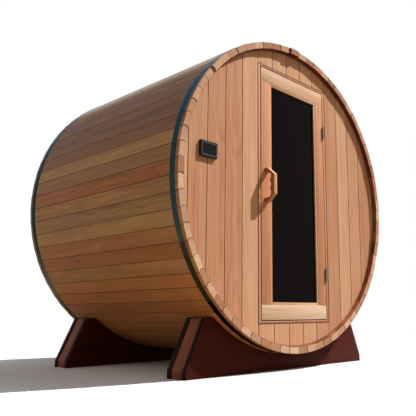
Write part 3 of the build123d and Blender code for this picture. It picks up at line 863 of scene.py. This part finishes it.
def screw_head(radius):
    """A countersunk head with a cross recess, looking up, its rim at height zero."""
    shape = bmesh.new()
    sides = 20
    rise = radius * 0.06
    turns = [2 * pi * i / sides for i in range(sides)]
    rim = [shape.verts.new((radius * cos(turn), radius * sin(turn), 0.0)) for turn in turns]
    arm, half = radius * 0.52, radius * 0.12
    corners = [(arm, -half), (arm, half), (half, half), (half, arm), (-half, arm), (-half, half)]
    corners += [(-x, -y) for x, y in corners]
    cross = [shape.verts.new((x, y, rise)) for x, y in corners]
    foot = [shape.verts.new((x * 0.8, y * 0.8, rise - radius * 0.34)) for x, y in corners]
    under = [shape.verts.new((v.co.x * 0.5, v.co.y * 0.5, -radius * 0.5)) for v in rim]
    loops = [shape.edges.new((rim[i], rim[(i + 1) % sides])) for i in range(sides)]
    loops += [shape.edges.new((cross[i], cross[(i + 1) % 12])) for i in range(12)]
    bmesh.ops.triangle_fill(shape, edges=loops, use_beauty=True)
    for near, far in ((cross, foot), (rim, under)):
        close_loops(shape, (near, far))
        shape.faces.new(far)
    bmesh.ops.recalc_face_normals(shape, faces=shape.faces)
    return bpy.data.objects.new("screw_head", mesh_of(shape, "screw_head"))


def screw_rows_tree():
    """Screws in rows of rows: each place is a corner plus whole steps in three directions."""
    tree, given, result = new_maker(
        "screw_rows",
        (
            ("Screw", "Object", None),
            ("Groups", "Int", 1),
            ("Rows", "Int", 1),
            ("Screws", "Int", 1),
            ("Corner", "Vector", (0.0, 0.0, 0.0)),
            ("Group Step", "Vector", (0.0, 0.0, 0.0)),
            ("Row Step", "Vector", (0.0, 0.0, 0.0)),
            ("Screw Step", "Vector", (0.0, 0.0, 0.0)),
            ("Tilt", "Float", 0.0),
            ("Seed", "Int", 4),
            ("Finish", "Material", None),
        ),
    )
    number = add_node(tree, "GeometryNodeInputIndex").outputs[0]
    per_group = times(tree, given["Rows"], given["Screws"])
    group = maths(tree, "FLOOR", maths(tree, "DIVIDE", plus(tree, number, 0.01), per_group))
    in_group = minus(tree, number, times(tree, group, per_group))
    row = maths(tree, "FLOOR", maths(tree, "DIVIDE", plus(tree, in_group, 0.01), given["Screws"]))
    screw = minus(tree, in_group, times(tree, row, given["Screws"]))
    place = given["Corner"]
    for count, step in ((group, "Group Step"), (row, "Row Step"), (screw, "Screw Step")):
        moved = add_node(tree, "ShaderNodeVectorMath", operation="MULTIPLY_ADD")
        for socket, value in zip(moved.inputs, (given[step], vector(tree, count, count, count), place)):
            feed(tree, socket, value)
        place = moved.outputs[0]
    points = add_node(tree, "GeometryNodePoints")
    feed_all(tree, points, {"Count": times(tree, given["Groups"], per_group), "Position": place})
    one = add_node(tree, "GeometryNodeObjectInfo")
    feed(tree, one.inputs["Object"], given["Screw"])
    twist = add_node(tree, "FunctionNodeRandomValue", data_type="FLOAT")
    feed_all(tree, twist, {"Max": pi, "Seed": given["Seed"]})
    driven = add_node(tree, "FunctionNodeEulerToRotation")
    feed(tree, driven.inputs[0], vector(tree, 0.0, 0.0, twist.outputs["Value"]))
    tipped = add_node(tree, "FunctionNodeEulerToRotation")
    feed(tree, tipped.inputs[0], vector(tree, 0.0, given["Tilt"], 0.0))
    turn = add_node(tree, "FunctionNodeRotateRotation", rotation_space="LOCAL")
    feed_all(tree, turn, {"Rotation": tipped.outputs[0], "Rotate By": driven.outputs[0]})
    placed = add_node(tree, "GeometryNodeInstanceOnPoints")
    head, turned = one.outputs["Geometry"], turn.outputs[0]
    feed_all(tree, placed, {"Points": points.outputs[0], "Instance": head, "Rotation": turned})
    whole = add_node(tree, "GeometryNodeRealizeInstances")
    feed(tree, whole.inputs[0], placed.outputs[0])
    dressed = add_node(tree, "GeometryNodeSetMaterial")
    feed_all(tree, dressed, {"Geometry": whole.outputs[0], "Material": given["Finish"]})
    feed(tree, result, dressed.outputs[0])
    return tree


def screws(finish):
    """Three screws in each hinge flap, and two in each slat of the floor over every bearer."""
    tree = screw_rows_tree()
    hinge_head, deck_head = screw_head(0.0034), screw_head(0.0042)
    low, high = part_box("hinge_jamb_flaps")
    hinge_height, spacing = 0.08, 0.027
    hinge_x, half_gap = 0.2967, 0.0025
    behind_face = WALL_Y + 0.017
    lowest = low.z + 0.013
    hinge_rows = {
        "Screw": hinge_head, "Groups": 2, "Rows": 3, "Screws": 1, "Finish": finish,
        "Group Step": (0.0, 0.0, high.z - low.z - hinge_height), "Row Step": (0.0, 0.0, spacing),
    }
    sets = (
        ("jamb_hinge_screws", "cabin", (hinge_x + half_gap, behind_face, lowest), -pi / 2),
        ("door_hinge_screws", "door", (hinge_x - half_gap, behind_face, lowest), pi / 2),
    )
    for name, body, corner, tilt in sets:
        row = run_maker(tree, name, {"Corner": corner, "Tilt": tilt, **hinge_rows})
        soften(row.data)
        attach(row, body)
    deck_low, deck_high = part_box("floor_slats")
    first_bearer, bearer_step = -0.501, 0.521
    from_edge, across_slat = 0.0165, 0.056
    deck_rows = {
        "Screw": deck_head, "Groups": 8, "Rows": 3, "Screws": 2, "Finish": finish, "Seed": 9,
        "Corner": (deck_low.x + from_edge, first_bearer, deck_high.z),
        "Group Step": (SLAT_PITCH, 0.0, 0.0), "Row Step": (0.0, bearer_step, 0.0),
        "Screw Step": (across_slat, 0.0, 0.0),
    }
    deck = run_maker(tree, "deck_screws", deck_rows)
    soften(deck.data)
    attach(deck, "cabin")
    bpy.data.objects.remove(hinge_head)
    bpy.data.objects.remove(deck_head)


# The panel's bezel

def bezel_plastic():
    """Satin grey plastic of the line round the screen."""
    finish, tree, surface = new_material("bezel_plastic")
    wear = noise(tree, object_place(tree), 120.0, 4.0, 0.6)
    colour = blend_colour(tree, wear, paint(92, 96, 100), paint(140, 142, 144))
    feed_all(tree, surface, {"Base Color": colour, "Roughness": scaled(tree, wear, 0.2, 0.28)})
    return finish


def panel_bezel():
    """A thin raised ring with rounded corners round the screen."""
    low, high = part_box("control_screen")
    face_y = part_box("control_panel")[0].y
    middle_x, middle_z = (low.x + high.x) / 2, (low.z + high.z) / 2
    half_x, half_z = (high.x - low.x) / 2, (high.z - low.z) / 2

    def ring(grow, y):
        """The screen's outline with quarter rounds at its corners, grown outwards by their radius."""
        spots = []
        for quarter, (side_x, side_z) in enumerate(((1, 1), (-1, 1), (-1, -1), (1, -1))):
            for step in range(6):
                turn = pi / 2 * (quarter + step / 5)
                x = middle_x + side_x * half_x + grow * cos(turn)
                spots.append((x, y, middle_z + side_z * half_z + grow * sin(turn)))
        return spots

    shape = bmesh.new()
    section = (
        (0.0044, 0.0006), (0.0044, -0.0004), (0.0040, -0.0008),
        (0.0031, -0.0008), (0.0027, -0.0004), (0.0027, 0.0006),
    )
    loops = [[shape.verts.new(spot) for spot in ring(grow, face_y + back)] for grow, back in section]
    close_loops(shape, loops + loops[:1])
    bmesh.ops.recalc_face_normals(shape, faces=shape.faces)
    mesh = mesh_of(shape, "panel_bezel")
    bezel = new_piece("panel_bezel", mesh)
    mesh.materials.append(bezel_plastic())
    soften(mesh)
    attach(bezel, "cabin")


# Studio

def seen_directly(tree):
    """1 for the camera's own view, also in metal and through glass, and 0 for light on the sauna."""
    rays = add_node(tree, "ShaderNodeLightPath").outputs
    mirrored = larger(tree, rays["Is Glossy Ray"], rays["Is Transmission Ray"])
    return larger(tree, rays["Is Camera Ray"], mirrored)


def blend_shader(tree, amount, first, second):
    step = add_node(tree, "ShaderNodeMixShader")
    for socket, value in zip(step.inputs, (amount, first.outputs[0], second.outputs[0])):
        feed(tree, socket, value)
    return step.outputs[0]


def studio_floor():
    """A pale floor that takes the shadow and turns into the white background away from the sauna."""
    size = 40.0
    mesh = bpy.data.meshes.new("studio_floor")
    corners = [(-size, -size, 0), (size, -size, 0), (size, size, 0), (-size, size, 0)]
    mesh.from_pydata(corners, [], [(0, 1, 2, 3)])
    ground = new_piece("studio_floor", mesh)
    finish = bpy.data.materials.new("studio_floor")
    finish.use_nodes = True
    tree = finish.node_tree
    tree.nodes.clear()
    x, y = parts(tree, object_place(tree))[:2]
    away = flat_distance(tree, x, y)
    matt = add_node(tree, "ShaderNodeBsdfDiffuse")
    seen = seen_directly(tree)
    colour = blend_colour(tree, seen, (0.24, 0.18, 0.12, 1.0), (0.92, 0.92, 0.92, 1.0))
    feed(tree, matt.inputs["Color"], colour)
    glow = add_node(tree, "ShaderNodeEmission")
    feed_all(tree, glow, {"Color": (1.0, 1.0, 1.0, 1.0), "Strength": 1.0})
    end = add_node(tree, "ShaderNodeOutputMaterial")
    far = times(tree, seen, soft_step(tree, away, 1.2, 3.2))
    feed(tree, end.inputs["Surface"], blend_shader(tree, far, matt, glow))
    mesh.materials.append(finish)


def studio_world():
    """Weak light from all round, warm low down and cool overhead, behind a plain white background."""
    world = bpy.data.worlds.new("studio")
    bpy.context.scene.world = world
    world.use_nodes = True
    tree = world.node_tree
    tree.nodes.clear()
    seen = seen_directly(tree)
    light = add_node(tree, "ShaderNodeBackground")
    height = parts(tree, add_node(tree, "ShaderNodeTexCoord").outputs["Generated"])[2]
    overhead = soft_step(tree, height, -0.1, 0.9)
    colour = blend_colour(tree, overhead, (1.0, 0.86, 0.74, 1.0), (0.94, 0.97, 1.0, 1.0))
    feed_all(tree, light, {"Color": colour, "Strength": scaled(tree, overhead, 0.16, 0.18)})
    backdrop = add_node(tree, "ShaderNodeBackground")
    feed_all(tree, backdrop, {"Color": (1.0, 1.0, 1.0, 1.0), "Strength": 1.0})
    end = add_node(tree, "ShaderNodeOutputWorld")
    feed(tree, end.inputs["Surface"], blend_shader(tree, seen, light, backdrop))


def hang_lamp(name, kind, energy, colour, travel):
    """A lamp whose light travels in the given direction."""
    lamp = bpy.data.lights.new(name, kind)
    lamp.energy = energy
    lamp.color = colour
    holder = new_piece(name, lamp)
    holder.rotation_euler = Vector(travel).to_track_quat("-Z", "Y").to_euler()
    return holder


def studio_key():
    """A hard key from high on the right, as the sun stood over the real one."""
    key = hang_lamp("key", "SUN", 4.95, (1.0, 0.97, 0.93), (-1.67, 1.0, -2.25))
    key.data.angle = 0.02


def studio_fill():
    """A broad, weak, warm light low on the left, behind the plane of the front wall."""
    fill = hang_lamp("fill", "AREA", 12.0, (1.0, 0.9, 0.78), (1.0, -0.15, -0.05))
    fill.data.shape = "RECTANGLE"
    fill.data.size = 3.0
    fill.data.size_y = 1.8
    fill.location = (-4.6, 1.6, 0.95)
    fill.visible_camera = False


def studio_camera():
    """The photograph's camera, as it was fitted to the barrel."""
    lens = bpy.data.cameras.new("camera")
    lens.lens = 49.73
    lens.sensor_width = 36.0
    lens.shift_x = -0.1584
    lens.shift_y = -0.0014
    lens.clip_end = 200.0
    yaw, pitch, roll = 0.8538, 0.1845, -0.0074
    ahead = Vector((sin(yaw) * cos(pitch), cos(yaw) * cos(pitch), sin(pitch)))
    level = Vector((cos(yaw), -sin(yaw), 0.0))
    above = level.cross(ahead)
    right = cos(roll) * level + sin(roll) * above
    up = -sin(roll) * level + cos(roll) * above
    turn = Matrix((right, up, -ahead)).transposed()
    holder = new_piece("camera", lens)
    holder.location = (-2.6134, -2.7949, 0.3062)
    holder.rotation_euler = turn.to_euler()
    bpy.context.scene.camera = holder


bpy.context.scene.view_settings.view_transform = "Standard"
studio_camera()
studio_world()
studio_floor()
studio_key()
studio_fill()
stave_ring()
woodwork()
metalwork_and_panel()
